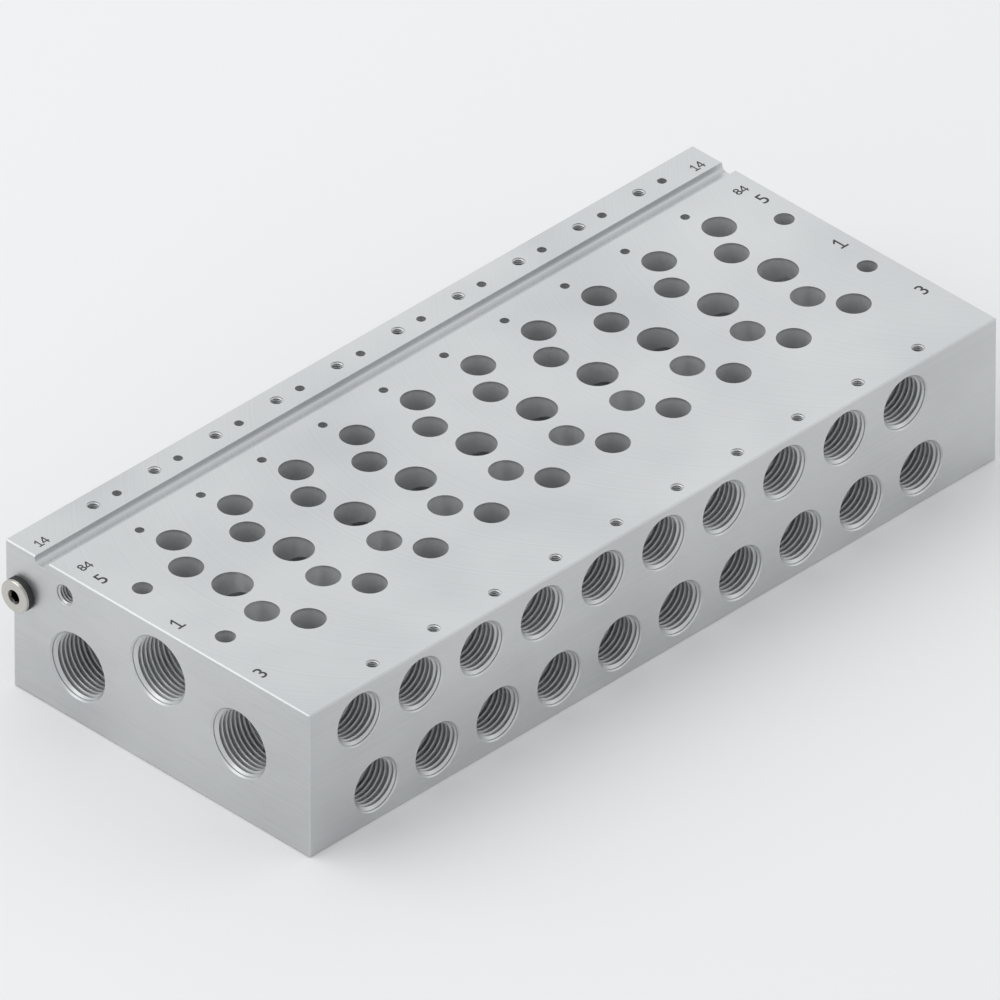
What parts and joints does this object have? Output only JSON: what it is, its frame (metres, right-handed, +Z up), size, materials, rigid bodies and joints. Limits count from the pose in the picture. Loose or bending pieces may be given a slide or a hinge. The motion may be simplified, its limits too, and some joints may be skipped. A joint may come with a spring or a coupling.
{
  "type": "manifold block",
  "caption": "Long drilled aluminium manifold block for a row of air valves, with threaded supply, exhaust, outlet and pilot ports, mounting holes and a plugged pilot port.",
  "frame": {"origin": "centre of the pattern of four mounting holes, on the base", "axes": "+X along the row of valve stations, away from the plugged end; +Y from the outlet face to the back strip; +Z up, out of the valve face"},
  "size_m": [0.218, 0.0954, 0.0384],
  "materials": {
    "anodised_aluminium": "natural anodised, satin, with fine milling marks",
    "nickel_plated_steel": "nickel plated, turned",
    "black_rubber": "matt moulded"
  },
  "bodies": {
    "root": {"manifold_block": "anodised_aluminium", "pilot_plug": "nickel_plated_steel", "plug_seal": "black_rubber"}
  },
  "joints": []
}
